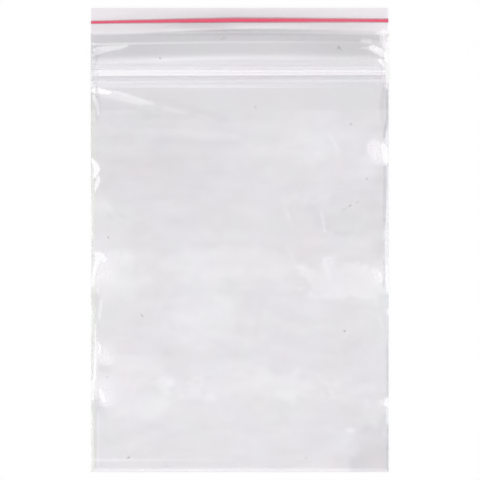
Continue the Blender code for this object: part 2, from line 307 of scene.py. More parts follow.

# Soft patches of painted light and shade on the front panel: name: middle in pixels, reach in pixels,
# change of level
SOFT_PAINTED_LIGHT = {
    "upper_left": ((160, 158), (110, 50), -5),
    "under_closure": ((280, 92), (140, 22), -4),
    "upper_right": ((318, 146), (48, 26), 0.5),
    "left_pull": ((90, 269), (30, 23), 11),
    "right_pull": ((392, 272), (22, 16), 6),
    "left_seal_low": ((94.6, 440), (2.6, 34), -5),
    "lower_left_pull": ((92, 358), (22, 20), 7),
    "bottom_left_pull": ((92, 395), (24, 16), 8),
    "bottom": ((220, 455), (150, 26), 0.5),
    "arc_below": ((150, 116), (40, 8), -2.5),
    "middle_high": ((250, 156), (30, 14), 3),
    "middle_patch": ((214, 281), (14, 8), 5),
    "left_patch": ((108, 293), (8, 7), 3),
    "right_patch": ((346, 296), (16, 7), 3),
    "right_gap": ((306, 258), (14, 12), -3),
    "middle_low_patch": ((200, 345), (10, 10), 3),
    "right_low": ((346, 345), (42, 14), -2.5),
    "right_foot": ((350, 414), (24, 9), -3.5),
    "left_low_edge": ((157, 386), (12, 8), -5),
    "lower_half": ((240, 385), (230, 110), 1.3),
    "left_high": ((100, 209), (9, 9), 6),
    "left_gap": ((96, 300), (5, 9), -6),
    "left_low_gap": ((102, 367.5), (11, 5.5), -10),
    "left_low_wedge": ((96, 402), (7, 8), -12),
    "left_low_foot": ((102, 409), (14, 5), -6),
    "right_high": ((380, 128), (10, 5), -6),
    "right_middle": ((380, 178), (7, 12), -5),
    "right_below": ((368, 165), (10, 8), 4),
    "right_shade": ((381, 249), (9, 13), -7),
    "right_upper": ((382, 106), (5, 13), 5),
}

# Patches of painted light and shade with wobbly edges: middle and half sizes in pixels, softness of the
# edge, change of level
EDGED_PAINTED_LIGHT = {
    "middle": ((230, 264), (66, 18), 9.0, 3.3),
    "middle_low": ((200, 318), (32, 24), 12.0, 3.8),
    "right": ((348, 281), (46, 19), 7.0, 6.0),
    "left": ((112, 276), (30, 24), 10.0, 3.0),
    "lower_left": ((128, 384), (46, 31), 9.0, 3.8),
    "lower": ((250, 385), (82, 13), 7.0, 4.5),
    "lower_between": ((160, 400), (60, 20), 14.0, 1.5),
    "upper_right": ((316, 144), (44, 22), 12.0, 2.0),
    "right_dark": ((356, 214), (38, 22), 8.0, -3.0),
    "middle_dark": ((240, 224), (170, 9), 12.0, -1.5),
    "upper_dark": ((236, 106), (40, 8), 8.0, -1.5),
    "corner": ((372, 448), (18, 28), 12.0, -6.5),
    "corner_deep": ((374, 460), (22, 12), 12.0, -3.0),
}
# Soft patches of painted light and shade on the bare back lip: middle, reach, change of level
LIP_PAINTED_LIGHT = {
    "above_line": ((232, 16), (70, 5), -9),
    "edge": ((232, 9), (190, 1.6), 1),
    "left": ((98, 15), (30, 10), 3.6),
    "right": ((375, 15), (36, 9), 3.6),
    "right_low": ((382, 26), (16, 3.5), 5),
    "below_line": ((200, 26.5), (60, 4), -12),
    "below_line_deep": ((198, 25.0), (36, 2.0), -12),
    "below_line_right": ((318, 26), (56, 4), -9),
}
# Painted highlights on the back lip: points with half widths and softness in pixels, change of level
LIP_HIGHLIGHTS = {
    "side": ([(388.4, 8, 0.4), (388.4, 27, 0.6)], 1.8, 8),
    "corner": ([(382, 31, 0.6), (385, 30.6, 1.0), (388.6, 29.6, 2.2)], 1.4, 18),
}
SOFT_START = 0.2  # share of a softness that lies inside the stated half width
PATCH_SQUARE = 2.6
WOBBLE = 5.0
WOBBLE_LENGTH = 13.0
# Mottling: length and height of its features in pixels, and its change of level
MOTTLE = ((30.0, 12.0, 1.6), (9.0, 5.0, 0.9))
LIP_MOTTLE = (24.0, 3.0, 1.0)

# name: points of the route with half widths and softness, in pixels; change of level, which is painted
# highlight above 0 and painted shade below 0; rise in millimetres where the crease stands out
CREASES_AND_PAINTED_LIGHT = {
    "corner_sweep": (
        [(92.0, 90.8, 1.0), (95.5, 90.8, 2.9), (98.5, 91.0, 2.5), (105, 92.2, 2.2),
         (110, 92.8, 1.6)], 1.6, 38, 0.06),
    "corner_sweep_middle": (
        [(106, 92.2, 1.4), (112, 92.6, 1.5), (118, 93.2, 1.5), (127, 95.6, 1.4)], 1.8, 18, 0.05),
    "corner_sweep_end": (
        [(124, 95.0, 1.4), (130, 96.8, 1.6), (138, 99.8, 1.6), (146, 102.4, 1.4),
         (153, 103.4, 0.8)], 2.0, 15, 0.04),
    "corner_sweep_glow": (
        [(99, 93.4, 1.6), (106, 94.4, 2.4), (118, 96.4, 2.6), (130, 99.6, 2.4),
         (142, 102.8, 1.6)], 3.6, 13),
    "corner_sweep_low": ([(104, 97.4, 1.0), (118, 99.6, 1.2), (128, 101.6, 0.8)], 4.0, 5),
    "corner_arc": (
        [(92.8, 95.6, 0.8), (94.8, 99.0, 1.4), (96.8, 103.0, 1.4), (97.8, 108, 1.0),
         (98.4, 115, 0.6)], 1.4, 20, 0.03),
    "corner_shade": ([(91.4, 93.6, 1.7), (91.2, 96.5, 0.5), (91.0, 112, 0.2)], 1.4, -15),
    "sweep_tail": ([(164, 107.5, 0.6), (176, 111.4, 1.2), (186, 113.6, 0.8)], 3.0, 5),
    "sweep_shade": ([(150, 97, 1.0), (190, 107, 1.5), (226, 120, 1.0)], 5.0, -2.5),
    "upper_band": (
        [(146, 130.6, 1.6), (172, 132.4, 3.2), (210, 134.4, 3.2), (238, 136.6, 1.6)], 3.4, 3.2),
    "band_shade": ([(150, 140.6, 0.3), (190, 142.4, 0.7), (236, 143.4, 0.3)], 2.6, -2.2),
    "crescent": (
        [(92.2, 159, 0.5), (93.4, 162, 1.6), (95.4, 165.4, 2.5), (96.7, 168.8, 3.0), (96.1, 172.4, 2.3),
         (94.4, 176, 1.6)], 1.3, 33, 0.10),
    "crescent_side": ([(92.2, 168, 0.5), (92.2, 200, 0.5), (91.8, 226, 0.5)], 1.4, 8),
    "side_gleam_high": ([(91.6, 204, 0.4), (91.6, 240, 0.4)], 1.3, 17),
    "side_gleam_middle": ([(91.6, 306, 0.6), (91.6, 334, 0.5)], 1.3, 18),
    "side_gleam_low": ([(91.3, 414, 0.7), (91.6, 440, 0.8), (91.8, 468, 0.8)], 1.5, 17),
    "crescent_tail": (
        [(98.6, 177, 0.8), (98.0, 181, 1.9), (96.6, 185, 1.6), (95, 190, 0.6)], 1.4, 28, 0.05),
    "pull_left": ([(96.5, 254, 1.6), (101.5, 255.8, 2.4)], 2.4, 24, 0.08),
    "pull_left_tail": (
        [(97, 261, 2.4), (94.8, 269, 1.5), (92.8, 277, 1.1), (92, 285, 0.9)], 1.5, 23, 0.05),
    "pull_left_glow": ([(102, 260, 3.0), (103, 272, 4.0)], 12.0, 6),
    "pull_left_wide": ([(98, 257.6, 2.0), (104.5, 259.2, 1.6)], 3.0, 22),
    "pull_left_shade": ([(92.2, 255, 0.8), (92.4, 267, 0.8)], 1.4, -11),
    "fleck": ([(97.4, 289, 0.7), (97.6, 291, 0.7)], 1.0, 16),
    "short_left": ([(101.5, 301, 0.8), (99.6, 312, 1.2), (99.6, 318, 0.9)], 2.2, 9),
    "seam_line_left": (
        [(95.3, 324, 0.0), (95.3, 336, 0.2), (95.8, 348, 0.8), (95.4, 356, 0.8), (94.8, 364, 0.9),
         (94.6, 370, 1.2), (94.5, 377, 1.4), (92.4, 383, 1.2), (91.8, 392, 1.2),
         (92.0, 399, 0.9)], 1.2, 26, 0.04),
    "pull_left_low": ([(98.3, 343, 0.7), (99.8, 348, 1.4), (99, 353, 0.8)], 1.4, 22, 0.04),
    "glow_left_low": ([(103, 354, 2.0), (107, 360, 2.0)], 9.0, 8),
    "pull_left_bottom": ([(100, 389.5, 1.2), (101.5, 395, 1.8), (103.8, 401, 2.0)], 2.2, 21, 0.06),
    "pull_left_bottom_glow": ([(102, 393, 2.0), (106, 401, 2.0)], 8.0, 8),
    "inner_left": ([(97.8, 412, 0.5), (98, 440, 0.9), (98, 470, 0.9)], 1.6, 5),
    "closure_left_patch": (
        [(93.6, 50.0, 0.8), (98.5, 50.8, 3.3), (105.5, 49.0, 2.5), (114, 48.0, 2.0), (120, 47.5, 1.6),
         (127, 45.8, 0.7)], 1.6, 23, 0.02),
    "closure_left_low": ([(91.8, 55.4, 0.6), (95, 54.4, 1.2), (99, 53.4, 1.0)], 1.4, 16),
    "closure_left_web": ([(91.5, 66.6, 0.6), (96.4, 66.4, 0.4)], 1.2, 14),
    "closure_left_edge": ([(91.6, 75.6, 0.8), (91.8, 82.6, 0.8)], 1.5, 11),
    "closure_left_foot": ([(94.6, 81.6, 0.8), (95.4, 88, 1.0)], 2.0, 9),
    "closure_left_high": ([(91.5, 43.4, 0.8), (94, 43.6, 0.4)], 1.2, 14),
    "closure_left_shade": ([(95, 56.4, 0.5), (99, 55.6, 0.5), (104, 53.6, 0.4)], 1.2, -3),
    "closure_right_patch": ([(363, 41, 1.4), (370, 41.6, 2.0)], 2.4, 15),
    "closure_right_high": ([(362, 48, 0.4), (367, 48.2, 0.9), (370, 48, 1.0)], 1.4, 14),
    "closure_right_blob": ([(370.6, 48.0, 1.8), (373, 48.2, 3.0), (376, 48.8, 2.8)], 1.4, 38, 0.05),
    "closure_right_tail": (
        [(376.6, 49.2, 2.0), (379.4, 50.2, 2.4), (381.6, 52.2, 2.4), (384, 54.8, 2.5),
         (388.5, 57.2, 2.2)], 1.4, 54, 0.06),
    "closure_right_low": (
        [(373.6, 51.0, 1.2), (376.6, 52.4, 1.3), (380, 54.2, 1.2), (383, 56.4, 1.0)], 1.3, 34),
    "closure_right_glow": ([(376, 43, 1.0), (381, 45, 2.0)], 5.0, 11),
    "closure_right_wedge": (
        [(378.4, 60.2, 0.5), (381.2, 61.4, 1.8), (384.5, 62.4, 3.2), (388.5, 64.8, 3.8)], 1.3, 50, 0.05),
    "closure_right_edge": (
        [(388.0, 37.5, 0.8), (388.0, 42, 1.2), (387.6, 50, 1.8), (387.6, 60, 2.2),
         (388.2, 66, 1.2)], 1.8, 41, 0.02),
    "closure_right_edge_glow": ([(384.2, 34, 1.4), (384.4, 50, 1.4)], 2.4, 28),
    "closure_right_side": ([(380.8, 34, 0.8), (381.2, 44, 0.8)], 2.6, 19),
    "closure_right_jaws": ([(383.6, 71.4, 1.2), (388, 74, 2.4)], 1.8, 11),
    "closure_right_under": ([(380.8, 75.4, 0.8), (384.2, 76.4, 1.2), (385, 86, 0.8)], 1.8, 10),
    "closure_right_shade": ([(382.0, 57.8, 0.5), (384, 58.6, 0.3)], 1.0, -6),
    "closure_right_foot": ([(387.6, 68, 1.3), (387.8, 76, 1.9), (388.2, 82, 1.2)], 1.6, 40),
    "closure_right_toe": ([(387.2, 85, 1.0), (387.8, 88, 0.6)], 2.4, 14),
    "lip_right": ([(380.4, 32.0, 0.8), (384, 31.8, 1.6), (388.5, 31.2, 2.4)], 1.6, 26, 0.03),
    "lip_right_glow": ([(378, 32, 1.4), (386, 32.6, 1.8)], 2.4, 14),
    "pucker_right": ([(383.4, 146, 2.2), (386.4, 152, 3.8), (386.2, 161, 2.8)], 3.6, 29, 0.08),
    "pucker_right_glow": ([(375, 148, 4.0), (379, 155, 5.0)], 10.0, 18),
    "pucker_streak": ([(368.5, 148, 0.6), (370.5, 153, 0.9), (371.5, 159, 0.6)], 1.8, 12),
    "seam_right_high": (
        [(387.4, 90, 0.7), (387.2, 118, 0.8), (385.8, 128, 1.3), (384.4, 137, 0.9)], 1.6, -16),
    "seam_right_gleam": ([(388.6, 127, 0.7), (387.2, 134, 1.2), (388, 142, 1.6)], 1.4, 16),
    "seam_right_middle": (
        [(385.2, 167, 1.0), (385.4, 182, 1.3), (385.0, 200, 1.3), (384.6, 222, 0.8)], 2.0, -11),
    "seam_right_light": (
        [(388.6, 166, 0.5), (388.4, 190, 0.7), (387.8, 212, 1.0), (387.2, 232, 1.4), (387.2, 256, 1.4),
         (387.6, 272, 1.4), (388.4, 292, 1.2)], 2.0, 19),
    "blob_right": ([(379.0, 271.5, 0.8), (380.2, 276, 1.5), (380.6, 281.5, 1.2)], 2.0, 13, 0.03),
    "blob_right_glow": ([(375, 272, 2.4), (378, 279, 2.4)], 5.0, 6),
    "blob_right_shade": ([(384.2, 262, 0.8), (384.2, 287, 0.9)], 1.4, -11),
    "seam_right_low": ([(387.6, 341, 0.4), (387.6, 350, 0.7), (387.6, 394, 0.8)], 1.3, -10),
    "seam_right_foot": ([(387.5, 426, 0.6), (387.6, 446, 0.8), (387.6, 471, 0.6)], 1.5, -8),
    "nick_right": ([(388.4, 309.5, 0.8), (388.4, 314, 0.8)], 1.2, 24),
    "dot_right": ([(384.5, 311.5, 0.5), (384.5, 312.5, 0.5)], 0.9, 14),
    "streak_right_low": ([(379, 315, 0.5), (381, 322, 0.8), (382, 328, 0.5)], 1.4, 4),
    "notch_right": ([(387.8, 399, 0.6), (386.8, 401, 1.6), (387.6, 403.5, 2.6)], 2.8, 29, 0.05),
    "notch_right_glow": ([(379, 402.5, 1.0), (385, 402.6, 2.0)], 2.8, 14),
    "notch_right_tail": ([(388.2, 408, 0.8), (388.2, 421, 0.9)], 1.8, 18),
    "dab": ([(349, 430, 1.2), (352, 430, 1.2)], 2.8, 8),
    "streak_low": ([(328.5, 386, 0.4), (331, 392, 0.7), (334, 397, 0.4)], 1.8, 5),
    "streak_high": ([(331, 136, 0.4), (334, 143, 0.8), (339, 152, 0.5)], 1.8, 5),
    "streak_right": ([(321, 212, 0.4), (323.5, 224, 0.8), (325, 232, 0.5)], 1.8, 7),
    "streak_middle": ([(284, 206, 0.4), (288, 215, 0.7), (292, 224, 0.4)], 1.8, 5),
    "streak_middle_low": ([(287, 246, 0.4), (292, 257, 0.7), (297, 268, 0.4)], 1.8, 4),
    "streak_right_middle": ([(324, 259, 0.4), (327, 269, 0.7), (330, 280, 0.4)], 1.8, 4),
    "streak_far_right": ([(366, 400, 0.4), (367, 405, 0.5)], 1.4, 8),
    "streak_left": ([(106, 204, 0.5), (112, 212, 1.0), (120, 220, 0.6)], 3.0, 3),
    "thin_shade_high": ([(303, 190, 0.3), (300, 200, 0.5), (297, 212, 0.3)], 1.6, -3),
    "thin_shade_low": ([(263, 300, 0.3), (259, 318, 0.5), (253, 340, 0.3)], 1.6, -3),
    "thin_shade_left": ([(126, 396, 0.3), (130, 386, 0.5), (136, 372, 0.3)], 1.6, -2),
    "fold_high": ([(152, 116, 0.4), (140, 110, 0.5), (128, 108, 0.3)], 1.8, -3),
}


def spot(u, v, middle, reach):
    """1 in the middle of a round spot without an edge, falling to 0 away from it."""
    return np.exp(-(((u - middle[0]) / reach[0]) ** 2) - ((v - middle[1]) / reach[1]) ** 2)


def stroke(u, v, route, softness):
    """1 on a stroke whose width changes along its route, falling softly to 0 beside it."""
    field = np.zeros(u.shape)
    for (au, av, a_half), (bu, bv, b_half) in zip(route, route[1:]):
        length = math.hypot(bu - au, bv - av)
        t = np.clip(((u - au) * (bu - au) + (v - av) * (bv - av)) / length**2, 0.0, 1.0)
        away = np.hypot(u - au - t * (bu - au), v - av - t * (bv - av))
        field = np.maximum(field, 1 - ease((away - mix(a_half, b_half, t)) / softness + SOFT_START))
    return field


def crease_fields(x, y):
    """(rise, painted highlight, painted shade) that the creases give each place of the front panel, as
    changes of level.
    """
    u, v = pixel(x, y)
    rise, crease_highlight, crease_shade = np.zeros(x.shape), np.zeros(x.shape), np.zeros(x.shape)
    for route, softness, change, *height in CREASES_AND_PAINTED_LIGHT.values():
        field = stroke(u, v, route, softness)
        rise += sum(height) * MM * field
        if change > 0:
            crease_highlight = np.maximum(crease_highlight, change * field)
        else:
            crease_shade = np.minimum(crease_shade, change * field)
    return rise, crease_highlight, crease_shade


def soft_noise(x, y, length, seed, height=None):
    """Soft noise about 0 with features about that long, and that high where it isn't the same."""
    height = height or length
    flat = [noise.noise(Vector((a / length, b / height, seed))) for a, b in zip(x.ravel(), y.ravel())]
    return np.array(flat).reshape(x.shape)


def line_level(x, v, middle, half_width, softness, changes):
    """Change of level that a soft line across the bag makes at each place."""
    away = np.abs(v - across(middle, x))
    return across(changes, x) * (1 - ease((away - half_width) / softness + SOFT_START))


def plain_level(x, y):
    """Level of each place of the closed bag, with its painted light and shade, apart from that of its
    creases.
    """
    u, v = pixel(x, y)
    level = np.full(x.shape, BODY_LEVEL)
    for middle, reach, amount in SOFT_PAINTED_LIGHT.values():
        level += amount * spot(u, v, middle, reach)
    wobble = WOBBLE * 2 * soft_noise(u, v, WOBBLE_LENGTH, 1.3)
    wobble += WOBBLE * soft_noise(u, v, WOBBLE_LENGTH / 3, 6.1)
    for middle, half, softness, amount in EDGED_PAINTED_LIGHT.values():
        wide, high = np.abs((u - middle[0]) / half[0]), np.abs((v - middle[1]) / half[1])
        away = (wide**PATCH_SQUARE + high**PATCH_SQUARE) ** (1 / PATCH_SQUARE)
        level += amount * ease(((1 - away) * min(half) + wobble) / softness + 0.5)
    for length, height, amount in MOTTLE:
        level += amount * 2 * soft_noise(u, v, length, length, height)
    for top, bottom, softness, levels in ZONES.values():
        inside = ease((v - across(top, x)) / softness + 0.5)
        inside *= ease((across(bottom, x) - v) / softness + 0.5)
        level = mix(level, across(levels, x), inside)
    return level + sum(line_level(x, v, *line) for line in [FRONT_LIP_HIGHLIGHT, *PAINTED_LIGHT_LINES.values()])


def lip_level(x, y):
    """Level of each place of the back lip, where nothing lies over it, with its painted light and shade.
    """
    u, v = pixel(x, y)
    level = np.full(x.shape, LIP_LEVEL)
    for middle, reach, amount in LIP_PAINTED_LIGHT.values():
        level += amount * spot(u, v, middle, reach)
    for route, softness, change in LIP_HIGHLIGHTS.values():
        level += change * stroke(u, v, route, softness)
    length, height, amount = LIP_MOTTLE
    mottle = amount * 2 * soft_noise(u, v, length, 4.4, height)
    return level + line_level(x, v, *FRONT_LIP_HIGHLIGHT) + mottle


def passed(level, surfaces):
    """Share of light that these surfaces pass, one way, where the floor behind them looks this level."""
    keep = (1 - SURFACE_GLOSS) ** surfaces
    veil = SURFACE_GLOSS * OVERHEAD * surfaces * VEIL
    wanted = np.maximum(linear(level) - veil, 0.01)
    once, twice = FLOOR_OWN * keep, FLOOR_MATT * keep * keep
    return (np.sqrt(once * once + 4 * twice * wanted) - once) / (2 * twice)


def tinted(level, tint):
    """Levels of red, green and blue: the level with a tint added."""
    return np.asarray(level)[..., None] + np.asarray(tint)


# The film as one folded sheet with the film's thickness


def spaced(first, last, step):
    """Places from first up to but not with last, about step apart."""
    count = max(1, round(abs(last - first) / step))
    return list(np.linspace(first, last, count, endpoint=False))


def film_columns():
    """X of each column of the film's grid, close together near the side seals."""
    edge = BAG_WIDTH / 2
    left = spaced(-edge, SIDE_ZONE - edge, SIDE_STEP) + spaced(SIDE_ZONE - edge, 0.0, MIDDLE_STEP)
    return np.array(left + [0.0] + [-x for x in reversed(left)])


def film_rows(x):
    """(y, z, layer) of each row of the film's grid at the places x, from the back lip to the front lip.

    layer is 0 on the back panel and 1 on the front panel.
    """
    fold_start = Y_BOTTOM + FILM + FOLD_RADIUS
    rows = []
    for y in spaced(Y_TOP, ZIP_HIGH, BACK_LIP_STEP) + spaced(ZIP_HIGH, fold_start, BACK_STEP):
        along = np.full(x.shape, y)
        rows.append((along, back_middle(x, along), 0.0))
    start = np.full(x.shape, fold_start)
    low, high = back_middle(x, start), front_middle(x, start)
    radius, middle = (high - low) / 2, (high + low) / 2
    for turn in spaced(0.0, 1.0, 1.0 / FOLD_TURNS):
        angle = math.pi * turn
        rows.append((start - FOLD_RADIUS * math.sin(angle), middle - radius * math.cos(angle), turn))
    high_y = ZIP_LOW
    body = []
    for v, step in BODY_ROWS:
        low_y = max(at(0, v)[1], fold_start)
        body += spaced(high_y, low_y, step * MM)
        high_y = low_y
    body.append(fold_start)
    for y in body[::-1] + spaced(ZIP_LOW, ZIP_HIGH, LIP_STEP)[1:]:
        along = np.full(x.shape, y)
        rows.append((along, front_middle(x, along), 1.0))
    lip_edge = front_lip_edge(x)
    count = round(float(lip_edge.max() - ZIP_HIGH) / LIP_STEP)
    for share in np.linspace(0.0, 1.0, count + 1):
        along = mix(ZIP_HIGH, lip_edge, share)
        rows.append((along, front_middle(x, along), 1.0))
    return rows


def new_mesh(name, points, faces):
    mesh = bpy.data.meshes.new(name)
    mesh.from_pydata(points, [], faces)
    mesh.shade_smooth()
    return mesh


def shell_faces(rings, around, first=0, turned=False):
    """Faces of a closed shell through rings of points: its sides, then its two ends."""
    faces = []
    for ring in range(rings - 1):
        for side in range(around):
            a, b = (first + ring * around + place for place in (side, (side + 1) % around))
            faces.append((a, a + around, b + around, b) if turned else (a, b, b + around, a + around))
    last = first + (rings - 1) * around
    low, high = tuple(range(first, first + around)), tuple(range(last, last + around))
    return faces + ([low, high[::-1]] if turned else [low[::-1], high])


def grid_mesh(name, points):
    """A mesh of quads through an array of points, rows by columns by 3."""
    rows, columns = points.shape[:2]
    index = np.arange(rows * columns).reshape(rows, columns)
    corners = (index[:-1, :-1], index[:-1, 1:], index[1:, 1:], index[1:, :-1])
    faces = np.stack([corner.ravel() for corner in corners], axis=1)
    return new_mesh(name, points.reshape(-1, 3).tolist(), faces.tolist())


def store(mesh, name, values):
    """Keeps a number or a colour for each point of the mesh."""
    if values.ndim > 1:
        attribute = mesh.color_attributes.new(name, "FLOAT_COLOR", "POINT")
        colours = np.ones((len(values), 4), np.float32)
        colours[:, :3] = values
        attribute.data.foreach_set("color", colours.ravel())
    else:
        attribute = mesh.attributes.new(name, "FLOAT", "POINT")
        attribute.data.foreach_set("value", values.astype(np.float32))


def add_object(name, data):
    thing = bpy.data.objects.new(name, data)
    bpy.context.scene.collection.objects.link(thing)
    return thing


def add_piece(name, mesh, material, node):
    """An object of the bag that stands for a node of the solids."""
    piece = add_object(name, mesh)
    mesh.materials.append(material)
    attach(piece, "root")
    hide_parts(node)
    return piece


def whitened(level, clear):
    """How far a surface whose level is clear must be whitened, as painted highlight, to look this level.
    """
    share = (linear(level) - linear(clear)) / (linear(WHITE_LEVEL) - linear(clear))
    return 1 - np.sqrt(1 - np.clip(share, 0.0, 1.0))


def make_film(material):
    x = film_columns()
    rows = film_rows(x)
    y = np.array([row[0] for row in rows])
    z = np.array([row[1] for row in rows])
    layers = np.array([row[2] for row in rows])
    layer = layers[:, None]
    x = np.broadcast_to(x, y.shape)
    u, v = pixel(x, y)

    rise, crease_highlight, crease_shade = crease_fields(x, y)
    in_from_seal = ease((SEAL_INSIDE + SEAL_WIDTH / 2 - np.abs(x)) / (SEAL_WIDTH * 2))
    off_closure = ease((ZIP_LOW - y) / WAVE_FADE)
    wave = WAVE_RISE * soft_noise(x, y, WAVE_LENGTH, 3.7) * off_closure
    z = z + layer * (rise + wave) * in_from_seal

    left_share = np.clip((SIDE_ZONE - BAG_WIDTH / 2 - x) / SIDE_ZONE, 0.0, 1.0)
    right_share = np.clip((x + SIDE_ZONE - BAG_WIDTH / 2) / SIDE_ZONE, 0.0, 1.0)
    shifted = x + edge_shift(y, LEFT_EDGE_IN, LEFT_NICKS) * left_share**2
    shifted -= edge_shift(y, RIGHT_EDGE_IN, RIGHT_NICKS) * right_share**2

    below_lips = ease((v - SEAL_TINT_V) / SEAL_TINT_FADE)[..., None]
    in_left_seal = ease((-x - SEAL_INSIDE) / PX + 0.5)[..., None] * below_lips
    in_right_seal = ease((x - SEAL_INSIDE) / PX + 0.5)[..., None] * below_lips
    in_corner = spot(u, v, CORNER_MIDDLE, CORNER_REACH)[..., None]
    tint = np.broadcast_to(np.array(BODY_TINT), (*x.shape, 3))
    tint = mix(tint, np.array(LEFT_SEAL_TINT), in_left_seal)
    tint = mix(tint, np.array(RIGHT_SEAL_TINT), in_right_seal)
    tint = tint + in_corner * np.array(CORNER_TINT)
    fold_gain = across(FOLD_GAIN, x) * ease((v - FOLD_V) / FOLD_SOFTNESS)
    strips = np.zeros(x.shape)
    for top, bottom, lost in STRIP_LOSSES:
        strips += lost * ease(v - top + 0.5) * ease(bottom - v + 0.5)
    strips *= ease((rib_high.x - np.abs(x)) / PX + 0.5)
    # The level holds painted light and shade: the patches, lines and zones, the creases' painted
    # highlights and shade, and the painted highlight along the fold
    level = plain_level(x, y) + crease_shade + np.maximum(crease_highlight, fold_gain)
    clear = np.minimum(level + strips, CLEAR_LEVEL)
    back_share = np.sqrt(passed(tinted(BACK_LEVEL, BODY_TINT), PANEL_SURFACES))
    front = np.sqrt(np.minimum(passed(clear[..., None] + tint, PANEL_SURFACES) / back_share, 1.0))
    bare = lip_level(x, y)
    clear_lip = np.minimum(bare, CLEAR_LEVEL)
    lip = np.sqrt(passed(tinted(clear_lip, LIP_TINT), LIP_SURFACES))
    under_front = ease((front_lip_edge(x) - y) / (2 * PX))
    back = mix(lip, np.broadcast_to(np.sqrt(back_share), lip.shape), under_front[..., None])
    tone = np.where(layer[..., None] > 0.5, front, np.minimum(back, 1.0))
    back_highlight = whitened(bare, clear_lip) * (1 - under_front)
    painted_highlight = np.where(layer > 0.5, whitened(level, clear - strips), back_highlight)

    points = np.stack([shifted, y, z], axis=-1)
    first_front = int(np.argmax(layers == 1.0))
    middle_v = v[:, v.shape[1] // 2]
    high_cut, low_cut = (first_front + int(np.argmax(middle_v[first_front:] <= cut)) for cut in FRONT_CUTS)
    parts = {
        "bag_film_back": (0, first_front),
        "bag_film_front_low": (first_front, low_cut),
        "bag_film_front_middle": (low_cut, high_cut),
        "bag_film_front_top": (high_cut, len(rows) - 1),
    }
    for name, (first, last) in parts.items():
        mesh = grid_mesh(name, points[first : last + 1])
        store(mesh, "tone", tone[first : last + 1].reshape(-1, 3))
        store(mesh, "painted_highlight", painted_highlight[first : last + 1].ravel())
        film = add_piece(name, mesh, material, "bag_film")
        thickness = film.modifiers.new("thickness", "SOLIDIFY")
        thickness.thickness = FILM
        thickness.offset = 0.0
        thickness.use_rim = False


# Line, seal beads, crushed closure ends and dust

LINE_V = 20.0
LINE_LEFT_DROP = 2.25
LINE_LEFT_POWER = 1.15
LINE_RIGHT_DROP = 0.54
LINE_HALF = (0.42, 0.56, 0.68, 0.62, 0.53)  # half width in millimetres from the left to the right
LINE_CROWN = 0.07 * MM
LINE_SEAT = 0.01 * MM
LINE_LEFT_END, LINE_RIGHT_END = 0.02 * MM, 0.2 * MM  # in from the bag's sides
LINE_STEPS, LINE_ROUND = 241, 11  # points along the line and over its top
LINE_UNDERSIDE = [(0.5, -0.05), (-0.5, -0.05)]  # (place, rise) of its lower side
LINE_WANDER, LINE_WANDER_LENGTH = 0.03 * MM, 5 * MM
LINE_UNEVEN, LINE_UNEVEN_LENGTH = 0.05, 3 * MM
LINE_TOP_LOSS, LINE_TOP_START = 0.92, 0.05  # how it thins towards its upper edge
# Share of the half width over which the lower edge thickens, from the left to the right
LINE_FOOT = (0.25, 0.7, 0.6, 0.8, 0.5)


def ribbon_mesh(name, x, middle_y, half, base_z, crown, profile):
    """A closed strip along X, where profile gives (place, rise) round its section."""
    loops = [
        np.stack([x, middle_y + half * place, base_z + crown * rise], axis=-1) for place, rise in profile
    ]
    points = np.stack(loops, axis=1)
    faces = shell_faces(len(x), len(profile), turned=True)
    return new_mesh(name, points.reshape(-1, 3).tolist(), faces)


def line_middle(x):
    """V of the middle of the red line."""
    side = 2 * x / BAG_WIDTH
    left = LINE_LEFT_DROP * np.maximum(-side, 0.0) ** LINE_LEFT_POWER
    return LINE_V + left + LINE_RIGHT_DROP * np.maximum(side, 0.0)


def make_line(material):
    x = np.linspace(LINE_LEFT_END - BAG_WIDTH / 2, BAG_WIDTH / 2 - LINE_RIGHT_END, LINE_STEPS)
    wander = soft_noise(x, x * 0, LINE_WANDER_LENGTH, 8.1) * LINE_WANDER
    y = at(0, line_middle(x))[1] + wander
    uneven = LINE_UNEVEN * soft_noise(x, x * 0, LINE_UNEVEN_LENGTH, 2.3)
    half = across(LINE_HALF, x) * MM * (1 + uneven)
    base = back_middle(x, y) + FILM / 2 + LINE_SEAT
    places = np.linspace(-1.0, 1.0, LINE_ROUND)
    profile = [(place, math.sqrt(max(1 - place * place, 0.0))) for place in places]
    profile += LINE_UNDERSIDE
    mesh = ribbon_mesh("lip_line_bead", x, y, half, base, LINE_CROWN, profile)
    place = np.array([place for place, _ in profile])
    thinned = LINE_TOP_LOSS * ease((place - LINE_TOP_START) / (1 - LINE_TOP_START))
    seen = ease((1 + place) / across(LINE_FOOT, x)[:, None]) * (1 - thinned)
    store(mesh, "cover", (1 - np.sqrt(1 - seen)).ravel())
    add_piece("lip_line_bead", mesh, material, "lip_line")


BEAD_RADIUS = 0.085 * MM
BEAD_IN = 1.2 * BEAD_RADIUS
BEAD_SIDES = 8
BEAD_STEP = 0.35 * MM
BEAD_UNEVEN, BEAD_UNEVEN_LENGTH = 0.45, 1.6 * MM
BEAD_WANDER, BEAD_WANDER_LENGTH = 0.02 * MM, 4 * MM


